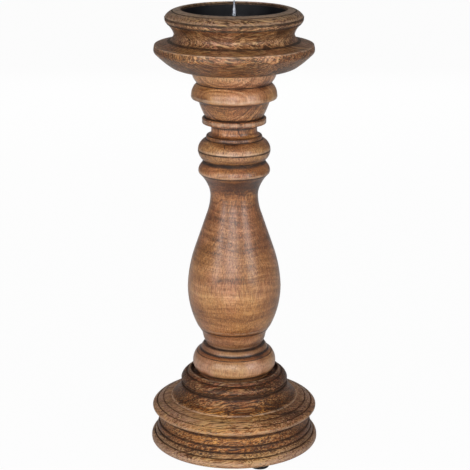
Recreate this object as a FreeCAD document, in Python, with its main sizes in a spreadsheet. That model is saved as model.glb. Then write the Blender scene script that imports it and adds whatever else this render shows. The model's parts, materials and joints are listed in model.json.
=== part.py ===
import FreeCAD, Part
import math
import os

import Sketcher

# Pricket candle stand: a turned wooden base of two discs, a spindle-turned stem and a turned cup
# with a steel drip pan and a steel pricket. Millimetres, +Z up, origin on the floor, on the axis.

FOOT_COUNT = 4
BASE_SCREW_COUNT = 3
FOOT_THREAD_TURNS = 7
BASE_THREAD_TURNS = 9
DOWEL_THREAD_TURNS = 8
PRICKET_THREAD_TURNS = 6
FULL_TURN = 360.0

# Length of the cross recess, as a share of the radius of its screw head
CROSS_LENGTH_SHARE = 1.1

# Driving sizes in millimetres. A turned piece is dimensioned as on a turner's rod, from its foot
# up: the radius at each station, and the rise from the station below it.
sizes = {
    # clearances
    "pan_gap": 0.3,
    "screw_gap": 0.1,
    "bore_end_gap": 1.0,
    # rubber feet
    "foot_radius": 7.6,
    "foot_height": 3.9,
    "foot_edge_round": 0.7,
    "foot_recess_depth": 2.4,
    "foot_inset": 10.3,
    # washer in each foot
    "washer_radius": 4.0,
    "washer_thickness": 0.6,
    # screw in each foot
    "foot_screw_head_radius": 2.8,
    "foot_screw_head_height": 1.3,
    "foot_screw_head_round": 0.7,
    "foot_screw_radius": 1.5,
    "foot_screw_core_radius": 1.1,
    "foot_screw_grip": 10.0,
    "foot_screw_tip": 1.8,
    # screws that hold the two base discs together
    "base_screw_head_radius": 4.0,
    "base_screw_head_height": 2.2,
    "base_screw_sink": 0.5,
    "base_screw_radius": 2.2,
    "base_screw_core_radius": 1.6,
    "base_screw_grip": 14.0,
    "base_screw_tip": 2.6,
    "base_screw_circle_radius": 32.0,
    # cross recess in the screw heads
    "cross_slot_width": 0.8,
    "cross_slot_depth": 1.0,
    # double-ended screws between cup, stem and base
    "dowel_radius": 4.0,
    "dowel_core_radius": 3.1,
    "dowel_tip": 2.0,
    "dowel_tip_radius": 1.6,
    "dowel_plain_length": 4.0,
    "cup_dowel_grip": 19.0,
    "stem_dowel_grip": 28.0,
    "base_dowel_grip": 24.0,
    # lower disc of the base
    "plinth_foot_radius": 67.3,
    "plinth_rim_radius": 68.8,
    "plinth_rim_rise": 2.7,
    "plinth_shoulder_radius": 65.9,
    "plinth_shoulder_rise": 4.6,
    "plinth_low_band_radius": 63.9,
    "plinth_low_band_rise": 4.5,
    "plinth_high_band_radius": 62.5,
    "plinth_high_band_rise": 5.1,
    "plinth_cove_radius": 60.2,
    "plinth_cove_rise": 7.8,
    # upper disc of the base, with its collar
    "step_seat_radius": 60.0,
    "step_undercut_radius": 60.6,
    "step_undercut_rise": 0.9,
    "step_rim_foot_radius": 66.5,
    "step_rim_foot_rise": 2.1,
    "step_rim_radius": 67.6,
    "step_rim_rise": 2.3,
    "step_shoulder_radius": 63.7,
    "step_shoulder_rise": 3.2,
    "step_band_radius": 58.7,
    "step_band_rise": 2.7,
    "step_crest_foot_radius": 52.1,
    "step_crest_foot_rise": 1.8,
    "step_crest_radius": 51.3,
    "step_crest_rise": 0.9,
    "step_slope_radius": 43.6,
    "step_slope_rise": 10.3,
    "step_quirk_radius": 42.8,
    "step_quirk_foot_rise": 0.2,
    "step_quirk_rise": 1.5,
    "step_fillet_radius": 43.6,
    "step_fillet_foot_rise": 0.3,
    "step_fillet_rise": 0.9,
    "step_collar_foot_radius": 43.3,
    "step_collar_foot_rise": 0.3,
    "step_collar_radius": 43.8,
    "step_collar_rise": 1.4,
    "step_collar_top_radius": 40.0,
    "step_collar_top_rise": 4.8,
    "step_dish_radius": 39.0,
    "step_dish_rise": 0.15,
    "step_lip_foot_radius": 38.3,
    "step_lip_foot_rise": 0.85,
    "step_lip_radius": 36.6,
    "step_lip_rise": 1.9,
    "step_recess_radius": 35.6,
    "step_recess_depth": 2.9,
    # stem
    "stem_tenon_radius": 29.0,
    "stem_tenon_rise": 2.5,
    "ball_foot_radius": 31.0,
    "ball_foot_rise": 0.6,
    "ball_radius": 34.0,
    "ball_rise": 6.5,
    "ball_top_radius": 30.7,
    "ball_top_rise": 9.0,
    "low_ring_foot_radius": 27.6,
    "low_ring_foot_rise": 2.4,
    "low_ring_top_radius": 25.1,
    "low_ring_top_rise": 4.0,
    "crevice_radius": 23.0,
    "crevice_foot_rise": 0.9,
    "crevice_rise": 1.1,
    "low_neck_foot_radius": 23.8,
    "low_neck_foot_rise": 0.6,
    "low_neck_radius": 25.4,
    "low_neck_rise": 3.8,
    "low_neck_top_radius": 26.7,
    "low_neck_top_rise": 4.9,
    "vase_foot_radius": 30.3,
    "vase_foot_rise": 5.6,
    "vase_belly_radius": 37.9,
    "vase_belly_rise": 32.4,
    "vase_shoulder_radius": 31.6,
    "vase_shoulder_rise": 33.0,
    "vase_taper_radius": 22.5,
    "vase_taper_rise": 26.5,
    "vase_neck_radius": 19.1,
    "vase_neck_rise": 16.5,
    "vase_neck_flare_radius": 20.6,
    "vase_neck_flare_rise": 7.5,
    "flare_radius": 27.7,
    "flare_rise": 10.8,
    "low_bead_foot_radius": 28.2,
    "low_bead_foot_rise": 0.4,
    "low_bead_radius": 28.7,
    "low_bead_rise": 2.2,
    "low_bead_top_radius": 27.3,
    "low_bead_top_rise": 3.9,
    "bead_crease_radius": 24.5,
    "bead_crease_rise": 4.1,
    "high_bead_foot_radius": 24.7,
    "high_bead_foot_rise": 0.3,
    "high_bead_radius": 29.0,
    "high_bead_rise": 8.1,
    "high_bead_top_radius": 23.2,
    "high_bead_top_rise": 9.0,
    "small_ring_foot_radius": 22.3,
    "small_ring_foot_rise": 0.2,
    "small_ring_radius": 21.9,
    "small_ring_rise": 2.8,
    "small_neck_radius": 18.3,
    "small_neck_foot_rise": 3.9,
    "small_neck_rise": 5.8,
    "cuff_foot_radius": 24.9,
    "cuff_radius": 25.5,
    "cuff_foot_rise": 0.8,
    "cuff_rise": 3.1,
    "cuff_top_radius": 24.4,
    "cuff_top_rise": 0.9,
    "taper_foot_radius": 22.9,
    "taper_foot_rise": 0.1,
    "taper_top_radius": 28.2,
    "taper_top_rise": 12.7,
    "knob_foot_radius": 33.6,
    "knob_foot_rise": 2.6,
    "knob_radius": 34.0,
    "knob_rise": 2.7,
    "knob_top_radius": 31.8,
    "knob_top_rise": 6.8,
    "head_crease_radius": 29.4,
    "head_crease_rise": 2.7,
    "head_radius": 33.6,
    "head_rise": 7.6,
    "head_top_radius": 34.2,
    "head_top_rise": 3.5,
    # cup
    "cup_seat_radius": 43.4,
    "cup_bowl_foot_radius": 49.6,
    "cup_bowl_foot_rise": 2.0,
    "cup_bowl_radius": 61.9,
    "cup_bowl_rise": 10.2,
    "cup_flange_radius": 63.2,
    "cup_flange_rise": 2.8,
    "cup_flange_edge_radius": 62.5,
    "cup_flange_edge_rise": 3.9,
    "cup_flange_top_radius": 51.0,
    "cup_flange_top_rise": 3.3,
    "cup_waist_radius": 47.2,
    "cup_waist_rise": 5.1,
    "cup_cove_radius": 51.6,
    "cup_cove_rise": 7.4,
    "cup_fillet_radius": 52.3,
    "cup_fillet_rise": 0.5,
    "cup_small_bead_foot_radius": 53.2,
    "cup_small_bead_foot_rise": 1.1,
    "cup_small_bead_radius": 54.3,
    "cup_small_bead_rise": 3.3,
    "cup_rim_radius": 54.4,
    "cup_rim_rise": 0.9,
    "cup_rim_top_radius": 48.4,
    "cup_rim_top_rise": 4.9,
    "cup_lip_radius": 42.6,
    "cup_lip_rise": 1.1,
    # incised rings
    "broad_line_radius": 0.5,
    "fine_line_radius": 0.3,
    # drip pan
    "pan_radius": 41.5,
    "pan_height": 10.8,
    "pan_wall": 1.0,
    "pan_corner_radius": 3.0,
    "pan_drop": 2.3,
    # pricket
    "pricket_flange_radius": 5.0,
    "pricket_flange_height": 1.0,
    "pricket_root_radius": 2.4,
    "pricket_root_height": 6.0,
    "pricket_taper_height": 11.6,
    "pricket_tip_radius": 0.4,
    "pricket_screw_radius": 2.0,
    "pricket_screw_core_radius": 1.4,
    "pricket_screw_grip": 9.0,
    "pricket_screw_tip": 1.6,
}

# Bearings in degrees, turned about +Z from +X.
bearings = {
    "foot_bearing": -69.0,
    "base_screw_bearing": -69.0,
}

# Height of each arc over its chord, as a share of the chord. A share above zero swells outwards,
# one below zero hollows inwards. A station with no share here is reached by a straight cut.
arc_shares = {
    "plinth_rim": 0.19,
    "plinth_shoulder": 0.16,
    "plinth_low_band": 0.05,
    "plinth_high_band": 0.05,
    "plinth_cove": -0.06,
    "step_rim_foot": -0.08,
    "step_rim": 0.17,
    "step_shoulder": 0.085,
    "step_band": 0.03,
    "step_crest_foot": 0.05,
    "step_crest": 0.12,
    "step_slope": -0.06,
    "step_fillet": 0.18,
    "step_collar": 0.1,
    "step_collar_top": 0.1,
    "step_dish": -0.08,
    "step_lip_foot": -0.12,
    "step_lip": 0.12,
    "ball": 0.13,
    "ball_top": 0.1,
    "low_ring_foot": -0.05,
    "low_ring_top": 0.06,
    "low_neck": 0.04,
    "low_neck_top": -0.03,
    "vase_belly": 0.058,
    "vase_shoulder": 0.038,
    "vase_neck": -0.043,
    "vase_neck_flare": -0.045,
    "flare": -0.051,
    "low_bead": 0.06,
    "low_bead_top": 0.07,
    "bead_crease": -0.02,
    "high_bead": 0.112,
    "high_bead_top": 0.14,
    "small_ring": 0.12,
    "small_neck_foot": -0.2,
    "cuff_foot": 0.17,
    "cuff_top": 0.17,
    "taper_top": 0.02,
    "knob_foot": -0.03,
    "knob": 0.12,
    "knob_top": 0.07,
    "head_crease": -0.03,
    "head": 0.07,
    "head_top": 0.04,
    "cup_bowl_foot": 0.04,
    "cup_bowl": 0.025,
    "cup_flange": 0.12,
    "cup_flange_edge": 0.04,
    "cup_flange_top": -0.03,
    "cup_waist": -0.135,
    "cup_cove": -0.07,
    "cup_small_bead": 0.1,
    "cup_rim": 0.05,
    "cup_rim_top": 0.09,
    "cup_lip": 0.045,
    "quarter_round": 0.207,
    "screw_dome": 0.15,
}

doc = FreeCAD.newDocument("candle_stand")
sheet = doc.addObject("Spreadsheet::Sheet", "Sizes")

row = 0
for table, ending in ((sizes, ""), (bearings, ""), (arc_shares, "_arc_share")):
    for name, number in table.items():
        row += 1
        sheet.set("A%d" % row, name + ending)
        sheet.set("B%d" % row, str(number))
        sheet.setAlias("B%d" % row, name + ending)
doc.recompute()


class Size:
    """A length worked out from named sizes: its number, and the same sum in the sheet's names."""

    def __init__(self, number, text):
        self.number = number
        self.text = text

    def __add__(self, other):
        return Size(self.number + other.number, "%s + %s" % (self.text, other.text))

    def __sub__(self, other):
        return Size(self.number - other.number, "%s - (%s)" % (self.text, other.text))

    def __mul__(self, factor):
        return Size(self.number * factor, "(%s) * %r" % (self.text, factor))


NOTHING = Size(0.0, "0")


def size(name):
    return Size(sizes[name], "Sizes." + name)


def stations(start_radius, steps):
    """Points of an outline from its foot up. A step is (station, radius name, rise name)."""
    radius = size(start_radius)
    height = NOTHING
    points = [(radius, height, None)]
    marks = {}
    for station, radius_name, rise_name in steps:
        radius = size(radius_name)
        if rise_name:
            height = height + size(rise_name)
        share = station if station in arc_shares else None
        points.append((radius, height, share))
        marks[station] = (radius, height)
    return points, marks, height


def plain_steps(*names):
    """Steps whose radius and rise are named after the station."""
    return [(name, name + "_radius", name + "_rise") for name in names]


def new_body(label):
    body = doc.addObject("PartDesign::Body", label)
    body.Label = label
    return body


def origin_feature(body, role):
    for feature in body.Origin.OriginFeatures:
        if feature.Role == role:
            return feature
    raise ValueError(role)


def new_sketch(body, name):
    sketch = body.newObject("Sketcher::SketchObject", name)
    sketch.AttachmentSupport = [(origin_feature(body, "XZ_Plane"), "")]
    sketch.MapMode = "FlatFace"
    return sketch


def arc_through(start, end, share):
    """Arc from start to end, counter-clockwise in the sketch, and whether it runs backwards."""
    chord = end.sub(start)
    length = chord.Length
    outward = FreeCAD.Vector(chord.y, -chord.x, 0) * (1.0 / length)
    rise = abs(share) * length
    radius = (length * length / 4 + rise * rise) / (2 * rise)
    side = 1 if share > 0 else -1
    middle = (start + end) * 0.5
    centre = middle - outward * (side * (radius - rise))
    from_angle = math.atan2(start.y - centre.y, start.x - centre.x)
    to_angle = math.atan2(end.y - centre.y, end.x - centre.x)
    backwards = share < 0
    if backwards:
        from_angle, to_angle = to_angle, from_angle
    if to_angle < from_angle:
        to_angle += 2 * math.pi
    circle = Part.Circle(centre, FreeCAD.Vector(0, 0, 1), radius)
    return Part.ArcOfCircle(circle, from_angle, to_angle), backwards


def arc_radius_text(here, there, share_name):
    """The arc's radius in the sheet's names, from its chord and its share."""
    run = "((%s) - (%s))" % (here[0].text, there[0].text)
    climb = "((%s) - (%s))" % (here[1].text, there[1].text)
    share = "Sizes.%s_arc_share" % share_name
    factor = "(1 + 4 * %s ^ 2) / (8 * abs(%s))" % (share, share)
    return "sqrt(%s ^ 2 + %s ^ 2) * %s" % (run, climb, factor)


def closed_outline(points):
    """Adds the stretches along the axis that close an outline given from its foot up."""
    closed = list(points)
    if points[-1][0].number > 0:
        closed.append((NOTHING, points[-1][1], None))
    if points[0][0].number > 0:
        closed.append((NOTHING, points[0][1], None))
    return closed


def draw(sketch, points):
    """Draws a closed outline of (radius, height, share) points and binds each to the sheet."""
    places = [FreeCAD.Vector(radius.number, height.number, 0) for radius, height, share in points]
    ends = []
    count = len(points)
    for index in range(count):
        after = (index + 1) % count
        share_name = points[after][2]
        if share_name:
            arc, backwards = arc_through(places[index], places[after], arc_shares[share_name])
            edge = sketch.addGeometry(arc)
            ends.append((edge, 2, 1) if backwards else (edge, 1, 2))
        else:
            edge = sketch.addGeometry(Part.LineSegment(places[index], places[after]))
            ends.append((edge, 1, 2))
    for index in range(count):
        edge, first, last = ends[index]
        after_edge, after_first, after_last = ends[(index + 1) % count]
        sketch.addConstraint(Sketcher.Constraint("Coincident", edge, last, after_edge, after_first))
    for index in range(count):
        edge, first, last = ends[index]
        radius, height, share_name = points[index]
        bind(sketch, Sketcher.Constraint("DistanceX", -1, 1, edge, first, radius.number), radius.text)
        bind(sketch, Sketcher.Constraint("DistanceY", -1, 1, edge, first, height.number), height.text)
        after = points[(index + 1) % count]
        if after[2]:
            curve = sketch.Geometry[edge]
            text = arc_radius_text(points[index], after, after[2])
            bind(sketch, Sketcher.Constraint("Radius", edge, curve.Radius), text)


def bind(sketch, constraint, text):
    index = sketch.addConstraint(constraint)
    if text != NOTHING.text:
        sketch.setExpression("Constraints[%d]" % index, text)


def turn(body, name, points):
    """Revolves an outline about the axis into a solid."""
    sketch = new_sketch(body, name + "_outline")
    draw(sketch, closed_outline(points))
    feature = body.newObject("PartDesign::Revolution", name)
    feature.Profile = sketch
    feature.ReferenceAxis = (sketch, ["V_Axis"])
    feature.Angle = FULL_TURN
    return feature


def turn_away(body, name, points):
    """Cuts a revolved outline out of the piece, and checks that it took wood or metal away."""
    doc.recompute()
    before = body.Shape.Volume
    sketch = new_sketch(body, name + "_outline")
    draw(sketch, closed_outline(points))
    finish_cut(body, name, sketch, before)


def incise(body, name, place, cut_radius):
    """Cuts a fine round-bottomed ring into the surface at a station."""
    doc.recompute()
    before = body.Shape.Volume
    radius, height = place
    sketch = new_sketch(body, name + "_outline")
    centre = FreeCAD.Vector(radius.number, height.number, 0)
    circle = Part.Circle(centre, FreeCAD.Vector(0, 0, 1), cut_radius.number)
    edge = sketch.addGeometry(circle)
    bind(sketch, Sketcher.Constraint("DistanceX", -1, 1, edge, 3, radius.number), radius.text)
    bind(sketch, Sketcher.Constraint("DistanceY", -1, 1, edge, 3, height.number), height.text)
    bind(sketch, Sketcher.Constraint("Radius", edge, cut_radius.number), cut_radius.text)
    finish_cut(body, name, sketch, before)


def finish_cut(body, name, sketch, before):
    feature = body.newObject("PartDesign::Groove", name)
    feature.Profile = sketch
    feature.ReferenceAxis = (sketch, ["V_Axis"])
    feature.Angle = FULL_TURN
    doc.recompute()
    if not body.Shape.Volume < before:
        raise ValueError(name + " cuts nothing")


def bore(body, name, radius, foot, top):
    """Cuts a round bore on the axis between two heights."""
    turn_away(body, name, [(radius, foot, None), (radius, top, None)])


def put(feature, prop, value):
    """Gives a property its number and binds it to the sheet."""
    setattr(feature, prop, value.number)
    feature.setExpression(prop, value.text)


def side_hole(body, name, radius, depth, circle_radius, bearing):
    """A cylinder cut upwards from the underside, at a bearing away from the axis."""
    hole = body.newObject("PartDesign::SubtractiveCylinder", name)
    put(hole, "Radius", radius)
    put(hole, "Height", depth)
    place_at_bearing(hole, circle_radius, bearing, NOTHING.number)
    return hole


def place_at_bearing(feature, circle_radius, bearing, extra):
    angle = "(Sizes.%s + %r) * 1 deg" % (bearing, extra)
    feature.setExpression("Placement.Base.x", "(%s) * cos(%s)" % (circle_radius.text, angle))
    feature.setExpression("Placement.Base.y", "(%s) * sin(%s)" % (circle_radius.text, angle))


def ring_of(body, name, features, count):
    """Repeats cuts evenly about the axis."""
    pattern = body.newObject("PartDesign::PolarPattern", name)
    pattern.Originals = features
    pattern.Axis = (origin_feature(body, "Z_Axis"), [""])
    pattern.Angle = FULL_TURN
    pattern.Occurrences = count
    body.Tip = pattern


def lift(body, height):
    body.setExpression("Placement.Base.z", height.text)


def thread(points, core, crest, foot, length, turns):
    """Adds thread ridges to an outline, upwards from foot over length."""
    half_pitch = length * (1.0 / (2 * turns))
    height = foot
    points.append((core, height, None))
    for ridge in range(turns):
        height = height + half_pitch
        points.append((crest, height, None))
        height = height + half_pitch
        points.append((core, height, None))
    return height


def cross_recess(body, name, head_radius):
    """Two crossed slots in the flat of a screw head that faces down."""
    length = head_radius * CROSS_LENGTH_SHARE
    width = size("cross_slot_width")
    depth = size("cross_slot_depth")
    for letter, run, across in (("a", length, width), ("b", width, length)):
        slot = body.newObject("PartDesign::SubtractiveBox", name + "_" + letter)
        put(slot, "Length", run)
        put(slot, "Width", across)
        put(slot, "Height", depth)
        slot.setExpression("Placement.Base.x", "(%s) * -0.5" % run.text)
        slot.setExpression("Placement.Base.y", "(%s) * -0.5" % across.text)


parts = []

# Outlines of the four turned wooden pieces
plinth_points, plinth_marks, plinth_height = stations("plinth_foot_radius", plain_steps(
    "plinth_rim", "plinth_shoulder", "plinth_low_band", "plinth_high_band", "plinth_cove"))

step_points, step_marks, step_height = stations("step_seat_radius", [
    ("step_undercut", "step_undercut_radius", "step_undercut_rise"),
    ("step_rim_foot", "step_rim_foot_radius", "step_rim_foot_rise"),
    ("step_rim", "step_rim_radius", "step_rim_rise"),
    ("step_shoulder", "step_shoulder_radius", "step_shoulder_rise"),
    ("step_band", "step_band_radius", "step_band_rise"),
    ("step_crest_foot", "step_crest_foot_radius", "step_crest_foot_rise"),
    ("step_crest", "step_crest_radius", "step_crest_rise"),
    ("step_slope", "step_slope_radius", "step_slope_rise"),
    ("step_quirk_foot", "step_quirk_radius", "step_quirk_foot_rise"),
    ("step_quirk", "step_quirk_radius", "step_quirk_rise"),
    ("step_fillet_foot", "step_fillet_radius", "step_fillet_foot_rise"),
    ("step_fillet", "step_fillet_radius", "step_fillet_rise"),
    ("step_collar_foot", "step_collar_foot_radius", "step_collar_foot_rise"),
    ("step_collar", "step_collar_radius", "step_collar_rise"),
    ("step_collar_top", "step_collar_top_radius", "step_collar_top_rise"),
    ("step_dish", "step_dish_radius", "step_dish_rise"),
    ("step_lip_foot", "step_lip_foot_radius", "step_lip_foot_rise"),
    ("step_lip", "step_lip_radius", "step_lip_rise"),
])

stem_points, stem_marks, stem_height = stations("stem_tenon_radius", [
    ("stem_tenon", "stem_tenon_radius", "stem_tenon_rise"),
    ("ball_foot", "ball_foot_radius", "ball_foot_rise"),
    ("ball", "ball_radius", "ball_rise"),
    ("ball_top", "ball_top_radius", "ball_top_rise"),
    ("low_ring_foot", "low_ring_foot_radius", "low_ring_foot_rise"),
    ("low_ring_top", "low_ring_top_radius", "low_ring_top_rise"),
    ("crevice_foot", "crevice_radius", "crevice_foot_rise"),
    ("crevice", "crevice_radius", "crevice_rise"),
    ("low_neck_foot", "low_neck_foot_radius", "low_neck_foot_rise"),
    ("low_neck", "low_neck_radius", "low_neck_rise"),
    ("low_neck_top", "low_neck_top_radius", "low_neck_top_rise"),
    ("vase_foot", "vase_foot_radius", "vase_foot_rise"),
    ("vase_belly", "vase_belly_radius", "vase_belly_rise"),
    ("vase_shoulder", "vase_shoulder_radius", "vase_shoulder_rise"),
    ("vase_taper", "vase_taper_radius", "vase_taper_rise"),
    ("vase_neck", "vase_neck_radius", "vase_neck_rise"),
    ("vase_neck_flare", "vase_neck_flare_radius", "vase_neck_flare_rise"),
    ("flare", "flare_radius", "flare_rise"),
    ("low_bead_foot", "low_bead_foot_radius", "low_bead_foot_rise"),
    ("low_bead", "low_bead_radius", "low_bead_rise"),
    ("low_bead_top", "low_bead_top_radius", "low_bead_top_rise"),
    ("bead_crease", "bead_crease_radius", "bead_crease_rise"),
    ("high_bead_foot", "high_bead_foot_radius", "high_bead_foot_rise"),
    ("high_bead", "high_bead_radius", "high_bead_rise"),
    ("high_bead_top", "high_bead_top_radius", "high_bead_top_rise"),
    ("small_ring_foot", "small_ring_foot_radius", "small_ring_foot_rise"),
    ("small_ring", "small_ring_radius", "small_ring_rise"),
    ("small_neck_foot", "small_neck_radius", "small_neck_foot_rise"),
    ("small_neck", "small_neck_radius", "small_neck_rise"),
    ("cuff_underside", "cuff_foot_radius", None),
    ("cuff_foot", "cuff_radius", "cuff_foot_rise"),
    ("cuff", "cuff_radius", "cuff_rise"),
    ("cuff_top", "cuff_top_radius", "cuff_top_rise"),
    ("taper_foot", "taper_foot_radius", "taper_foot_rise"),
    ("taper_top", "taper_top_radius", "taper_top_rise"),
    ("knob_foot", "knob_foot_radius", "knob_foot_rise"),
    ("knob", "knob_radius", "knob_rise"),
    ("knob_top", "knob_top_radius", "knob_top_rise"),
    ("head_crease", "head_crease_radius", "head_crease_rise"),
    ("head", "head_radius", "head_rise"),
    ("head_top", "head_top_radius", "head_top_rise"),
])

cup_points, cup_marks, cup_height = stations("cup_seat_radius", plain_steps(
    "cup_bowl_foot", "cup_bowl", "cup_flange", "cup_flange_edge", "cup_flange_top", "cup_waist",
    "cup_cove", "cup_fillet", "cup_small_bead_foot", "cup_small_bead", "cup_rim", "cup_rim_top",
    "cup_lip"))

# Levels above the floor at which the pieces meet
plinth_level = size("foot_height")
step_level = plinth_level + plinth_height
stem_level = step_level + step_height - size("step_recess_depth")
cup_level = stem_level + stem_height
pan_level = cup_level + cup_height - size("pan_drop") - size("pan_height")
pan_floor_level = pan_level + size("pan_wall")

# Bores, each from the screw that it holds and a named clearance
foot_bore = size("foot_screw_radius") + size("screw_gap")
base_bore = size("base_screw_radius") + size("screw_gap")
dowel_bore = size("dowel_radius") + size("screw_gap")
pricket_bore = size("pricket_screw_radius") + size("screw_gap")
end_gap = size("bore_end_gap")

# Circles on which the feet and the disc screws stand
foot_circle = size("plinth_foot_radius") - size("foot_inset")
base_circle = size("base_screw_circle_radius")

# Base plinth: bored through for the disc screws, with pilot bores for the foot screws
plinth = new_body("base_plinth")
turn(plinth, "plinth_turning", plinth_points)
for mark in ("plinth_shoulder", "plinth_low_band", "plinth_high_band"):
    incise(plinth, mark + "_line", plinth_marks[mark], size("broad_line_radius"))
head_bore = size("base_screw_head_radius") + size("screw_gap")
disc_bore = side_hole(plinth, "disc_screw_bore", base_bore, plinth_height,
                      base_circle, "base_screw_bearing")
head_seat = side_hole(plinth, "disc_screw_head_seat", head_bore, size("base_screw_sink"),
                      base_circle, "base_screw_bearing")
countersink = plinth.newObject("PartDesign::SubtractiveCone", "disc_screw_countersink")
put(countersink, "Radius1", head_bore)
put(countersink, "Radius2", base_bore)
put(countersink, "Height", size("base_screw_head_height"))
place_at_bearing(countersink, base_circle, "base_screw_bearing", NOTHING.number)
countersink.setExpression("Placement.Base.z", size("base_screw_sink").text)
ring_of(plinth, "disc_screw_bores", [disc_bore, head_seat, countersink], BASE_SCREW_COUNT)
foot_pilot = side_hole(plinth, "foot_screw_pilot", foot_bore,
                       size("foot_screw_grip") + size("foot_screw_tip") + end_gap,
                       foot_circle, "foot_bearing")
ring_of(plinth, "foot_screw_pilots", [foot_pilot], FOOT_COUNT)
lift(plinth, plinth_level)
parts.append(plinth)

# Base step: recessed for the stem's foot, bored for its dowel screw and for the disc screws
step = new_body("base_step")
turn(step, "step_turning", step_points)
for mark in ("step_shoulder", "step_band"):
    incise(step, mark + "_line", step_marks[mark], size("broad_line_radius"))
incise(step, "step_collar_line", step_marks["step_collar_foot"], size("fine_line_radius"))
recess_floor = step_height - size("step_recess_depth")
bore(step, "stem_recess", size("step_recess_radius"), recess_floor, step_height)
bore(step, "step_dowel_bore", dowel_bore,
     recess_floor - size("base_dowel_grip") - end_gap, recess_floor)
disc_pilot = side_hole(step, "disc_screw_pilot", base_bore,
                       size("base_screw_grip") + size("base_screw_tip") + end_gap,
                       base_circle, "base_screw_bearing")
ring_of(step, "disc_screw_pilots", [disc_pilot], BASE_SCREW_COUNT)
lift(step, step_level)
parts.append(step)

# Stem: one spindle turning with a dowel bore in each end
stem = new_body("stem")
turn(stem, "stem_turning", stem_points)
incise(stem, "high_bead_line", stem_marks["high_bead"], size("broad_line_radius"))
for mark in ("ball_top", "low_ring_foot"):
    incise(stem, mark + "_line", stem_marks[mark], size("fine_line_radius"))
bore(stem, "stem_foot_bore", dowel_bore, NOTHING, size("stem_dowel_grip") + end_gap)
bore(stem, "stem_head_bore", dowel_bore, stem_height - size("stem_dowel_grip") - end_gap, stem_height)
lift(stem, stem_level)
parts.append(stem)

# Cup: recessed for the drip pan, bored for its dowel screw and for the pricket
cup = new_body("cup")
turn(cup, "cup_turning", cup_points)
for mark in ("cup_small_bead_foot", "cup_small_bead"):
    incise(cup, mark + "_line", cup_marks[mark], size("broad_line_radius"))
incise(cup, "cup_rim_line", cup_marks["cup_rim_top"], size("fine_line_radius"))
pan_seat = cup_height - size("pan_drop") - size("pan_height")
bore(cup, "pan_recess", size("pan_radius") + size("pan_gap"), pan_seat, cup_height)
pricket_bore_depth = size("pricket_screw_grip") + size("pricket_screw_tip") + end_gap
bore(cup, "pricket_pilot", pricket_bore, pan_seat - pricket_bore_depth, pan_seat)
bore(cup, "cup_dowel_bore", dowel_bore, NOTHING, size("cup_dowel_grip") + end_gap)
lift(cup, cup_level)
parts.append(cup)

# Drip pan: pressed steel, with a hole for the pricket's screw
pan = new_body("pan")
pan_rim = size("pan_radius")
pan_corner = size("pan_corner_radius")
turn(pan, "pan_pressing", [
    (pan_rim - pan_corner, NOTHING, None),
    (pan_rim, pan_corner, "quarter_round"),
    (pan_rim, size("pan_height"), None),
])
inner_rim = pan_rim - size("pan_wall")
turn_away(pan, "pan_hollow", [
    (pan_rim - pan_corner, size("pan_wall"), None),
    (inner_rim, pan_corner, "quarter_round"),
    (inner_rim, size("pan_height"), None),
])
bore(pan, "pan_hole", pricket_bore, NOTHING, size("pan_wall"))
lift(pan, pan_level)
parts.append(pan)

# Pricket: tapered spike on a flange, with a wood screw below that clamps the pan to the cup
pricket = new_body("pricket")
grip = size("pricket_screw_grip")
tip = size("pricket_screw_tip")
core = size("pricket_screw_core_radius")
pricket_points = [(NOTHING, NOTHING, None)]
thread_top = thread(pricket_points, core, size("pricket_screw_radius"), tip, grip, PRICKET_THREAD_TURNS)
flange_foot = thread_top + size("pan_wall")
flange_top = flange_foot + size("pricket_flange_height")
root_top = flange_top + size("pricket_root_height")
tip_foot = root_top + size("pricket_taper_height")
pricket_points += [
    (core, flange_foot, None),
    (size("pricket_flange_radius"), flange_foot, None),
    (size("pricket_flange_radius"), flange_top, None),
    (size("pricket_root_radius"), flange_top, None),
    (size("pricket_root_radius"), root_top, None),
    (size("pricket_tip_radius"), tip_foot, None),
    (NOTHING, tip_foot + size("pricket_tip_radius"), None),
]
turn(pricket, "pricket_turning", pricket_points)
lift(pricket, pan_floor_level - flange_foot)
parts.append(pricket)


def dowel_screw(label, low_grip, high_grip, joint_level):
    """Double-ended screw, its plain middle across the joint between two pieces."""
    body = new_body(label)
    end_radius = size("dowel_tip_radius")
    nose = size("dowel_tip")
    ridge = size("dowel_radius")
    root = size("dowel_core_radius")
    half_plain = size("dowel_plain_length") * 0.5
    points = [(end_radius, NOTHING, None)]
    low_top = thread(points, root, ridge, nose, low_grip - nose - half_plain, DOWEL_THREAD_TURNS)
    plain_top = low_top + size("dowel_plain_length")
    high_top = thread(points, root, ridge, plain_top, high_grip - nose - half_plain, DOWEL_THREAD_TURNS)
    points.append((end_radius, high_top + nose, None))
    turn(body, label + "_turning", points)
    lift(body, joint_level - low_grip)
    parts.append(body)


dowel_screw("dowel_screw_base", size("base_dowel_grip"), size("stem_dowel_grip"), stem_level)
dowel_screw("dowel_screw_cup", size("stem_dowel_grip"), size("cup_dowel_grip"), cup_level)


def base_screw(number):
    """Countersunk screw, up through the plinth into the step."""
    body = new_body("base_screw_%d" % number)
    head = size("base_screw_head_radius")
    head_top = size("base_screw_head_height")
    core_radius = size("base_screw_core_radius")
    seam = plinth_height - size("base_screw_sink")
    points = [
        (head, NOTHING, None),
        (core_radius, head_top, None),
    ]
    top = thread(points, core_radius, size("base_screw_radius"), seam, size("base_screw_grip"),
                 BASE_THREAD_TURNS)
    points.append((NOTHING, top + size("base_screw_tip"), None))
    turn(body, "base_screw_turning_%d" % number, points)
    cross_recess(body, "base_screw_slot_%d" % number, head)
    turn_on = FULL_TURN / BASE_SCREW_COUNT * (number - 1)
    place_at_bearing(body, base_circle, "base_screw_bearing", turn_on)
    lift(body, plinth_level + size("base_screw_sink"))
    parts.append(body)


for number in range(1, BASE_SCREW_COUNT + 1):
    base_screw(number)


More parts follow.
